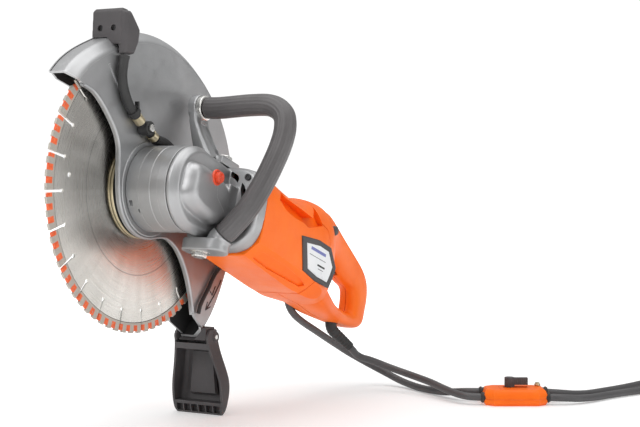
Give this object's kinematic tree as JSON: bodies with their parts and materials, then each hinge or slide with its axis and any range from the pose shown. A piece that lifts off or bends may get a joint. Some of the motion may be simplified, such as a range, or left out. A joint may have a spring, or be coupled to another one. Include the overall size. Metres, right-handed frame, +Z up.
{
  "type": "concrete cut-off saw",
  "caption": "Electric wet cut-off saw: diamond blade under a cast guard with a folding spray foot, loop front handle, sloping motor with a D grip, cable, hose and valve box.",
  "frame": {"origin": "centre of the base of the machine's box, on the floor; the free cable, the hose and what is on them are left out of that box", "axes": "+X towards the rear of the saw, +Y towards the blade's outer side, away from the motor, +Z up"},
  "size_m": [0.8322, 0.6959, 0.5075],
  "materials": {
    "cast_aluminium": "as cast, bead blasted",
    "bright_steel": "ground and plated",
    "dark_steel": "blackened",
    "orange_plastic": "fine texture",
    "grey_plastic": "fine texture",
    "black_rubber": "matt",
    "brass": "pale, plated",
    "copper_winding": "varnished copper",
    "pale_label": "satin",
    "red_plastic": "moulded",
    "cord_sheath": "matt sheath"
  },
  "bodies": {
    "saw": {"bearing_housing": "cast_aluminium", "gear_case": "cast_aluminium", "case_screw_1": "dark_steel", "case_screw_2": "dark_steel", "handle_bracket_upper": "cast_aluminium", "handle_collar": "brass", "front_handle": "grey_plastic", "handle_bracket_lower": "cast_aluminium", "handle_bolt_upper": "bright_steel", "handle_bolt_lower": "bright_steel", "motor_bearing_front": "bright_steel", "motor_bearing_rear": "bright_steel", "stator": "copper_winding", "brush_holder_left": "brass", "brush_holder_right": "brass", "motor_casing": "orange_plastic", "rear_casing_left": "orange_plastic", "rear_casing_right": "orange_plastic", "label_bezel": "grey_plastic", "label_plate": "pale_label", "power_switch": "black_rubber", "spindle_bearing": "bright_steel", "shaft_seal": "black_rubber", "cable_sleeve": "black_rubber", "power_cable_front": "cord_sheath", "power_cable_rear": "cord_sheath", "water_hose_front": "cord_sheath", "water_hose_rear": "cord_sheath", "valve_box": "orange_plastic", "bleed_nipple": "brass", "cable_coil": "cord_sheath", "mains_plug": "black_rubber", "hose_connector": "brass"},
    "blade": {"diamond_blade": "bright_steel", "inner_flange": "dark_steel", "outer_flange": "bright_steel", "output_shaft": "bright_steel", "arbor_bolt": "bright_steel", "ring_gear": "bright_steel"},
    "armature": {"armature_shaft": "bright_steel", "armature_core": "dark_steel", "commutator": "copper_winding", "cooling_fan": "black_rubber"},
    "guard": {"guard_shell": "cast_aluminium", "guard_side_plate": "cast_aluminium", "guard_handle": "grey_plastic", "guard_hose_upper": "black_rubber", "hose_ferrule_upper": "brass", "banjo_fitting": "black_rubber", "banjo_bolt": "bright_steel", "hose_ferrule_lower": "brass", "guard_hose_lower": "black_rubber", "guard_water_tube": "black_rubber", "hinge_bracket": "grey_plastic", "hinge_pin": "bright_steel"},
    "spray_guard": {"spray_guard": "grey_plastic"},
    "spindle_lock": {"spindle_lock_button": "red_plastic"},
    "lock_off": {"lock_off_button": "grey_plastic"},
    "trigger": {"trigger": "grey_plastic"},
    "valve_lever": {"valve_lever": "grey_plastic"}
  },
  "joints": [
    {"name": "blade_spin", "type": "hinge", "parent": "saw", "child": "blade", "pos_m": [-0.12305, 0.06984, 0.294], "axis": [0, 1, 0], "continuous": true},
    {"name": "armature_spin", "type": "hinge", "parent": "saw", "child": "armature", "pos_m": [-0.12305, -0.01416, 0.294], "axis": [0.9455, 0, -0.3256], "continuous": true},
    {"name": "guard_turn", "type": "hinge", "parent": "saw", "child": "guard", "pos_m": [-0.12305, 0.06984, 0.294], "axis": [0, 1, 0], "range_deg": [-15, 35]},
    {"name": "spray_guard_fold", "type": "hinge", "parent": "guard", "child": "spray_guard", "pos_m": [0.00395, 0.06984, 0.101], "axis": [0, -1, 0], "range_deg": [0, 35]},
    {"name": "spindle_lock_press", "type": "slide", "parent": "saw", "child": "spindle_lock", "axis": [0, 1, 0], "range_m": [0, 0.004], "stiffness_N_per_m": 600},
    {"name": "lock_off_press", "type": "slide", "parent": "saw", "child": "lock_off", "axis": [0, 1, 0], "range_m": [0, 0.004], "stiffness_N_per_m": 500},
    {"name": "trigger_pull", "type": "hinge", "parent": "saw", "child": "trigger", "pos_m": [0.1829, -0.01416, 0.21192], "axis": [0, -1, 0], "range_deg": [0, 8], "stiffness_Nm_per_rad": 1.5},
    {"name": "valve_lever_turn", "type": "hinge", "parent": "saw", "child": "valve_lever", "pos_m": [0.27654, -0.25297, 0], "axis": [0, 0, 1], "range_deg": [0, 90]}
  ],
  "couplings": [
    {"joint": "armature_spin", "follows": "blade_spin", "ratio": -4}
  ]
}
